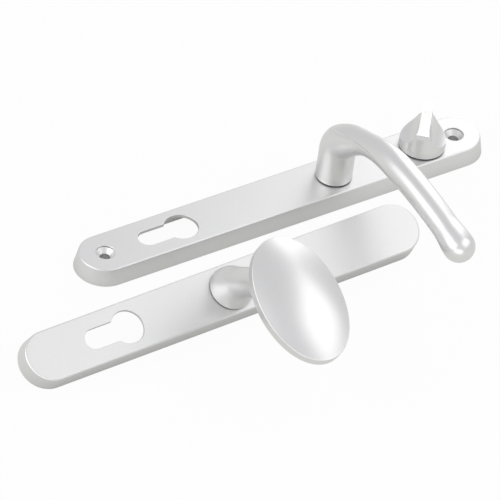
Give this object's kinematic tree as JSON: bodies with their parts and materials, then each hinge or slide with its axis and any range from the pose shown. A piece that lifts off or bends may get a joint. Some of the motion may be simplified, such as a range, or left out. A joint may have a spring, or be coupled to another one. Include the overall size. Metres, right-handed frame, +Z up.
{
  "type": "door handle set",
  "caption": "Satin silver lever and pad door handle set for a euro-cylinder lock: long backplates with cut-outs, a sprung lever with a thumb-turn snib, and an offset oval pad",
  "frame": {"origin": "middle of the footprint of the two halves as they lie, on the floor", "axes": "+X runs along the backplates towards the snib end, +Y from the pad half to the lever half, +Z up off the floor"},
  "size_m": [0.3086, 0.1556, 0.0687],
  "materials": {
    "satin_silver": "satin silver anodised",
    "zinc_steel": "zinc plated",
    "spring_steel": "oiled spring steel",
    "black_nylon": "matt black"
  },
  "bodies": {
    "plates": {"inside_backplate": "satin_silver", "lever_bush": "black_nylon", "lever_return_spring": "spring_steel", "lever_cover": "zinc_steel", "lever_cover_screw_1": "zinc_steel", "lever_cover_screw_2": "zinc_steel", "snib_bush": "black_nylon", "snib_detent_spring": "spring_steel", "outside_backplate": "satin_silver", "pad_bush": "black_nylon", "pad_return_spring": "spring_steel", "pad_cover": "zinc_steel", "pad_cover_screw_1": "zinc_steel", "pad_cover_screw_2": "zinc_steel", "fixing_post_lower": "zinc_steel", "fixing_post_upper": "zinc_steel"},
    "lever": {"lever_handle": "satin_silver", "lever_cam": "zinc_steel", "lever_circlip": "zinc_steel"},
    "snib": {"snib_knob": "satin_silver", "snib_cam": "zinc_steel", "snib_circlip": "zinc_steel"},
    "pad": {"pad_handle": "satin_silver", "pad_cam": "zinc_steel", "pad_circlip": "zinc_steel"}
  },
  "joints": [
    {"name": "lever_turn", "type": "hinge", "parent": "plates", "child": "lever", "pos_m": [0.06476, 0.06274, 0], "axis": [0, 0, 1], "range_deg": [-35, 45], "stiffness_Nm_per_rad": 0.3, "deforming": ["lever_return_spring"]},
    {"name": "snib_turn", "type": "hinge", "parent": "plates", "child": "snib", "pos_m": [0.11886, 0.06274, 0], "axis": [0, 0, 1], "range_deg": [-50, 40]},
    {"name": "pad_turn", "type": "hinge", "parent": "plates", "child": "pad", "pos_m": [-0.0326, 0.01192, 0.00644], "axis": [0.0118, -0.4505, 0.8927], "range_deg": [-40, 0], "stiffness_Nm_per_rad": 0.3, "deforming": ["pad_return_spring"]}
  ]
}
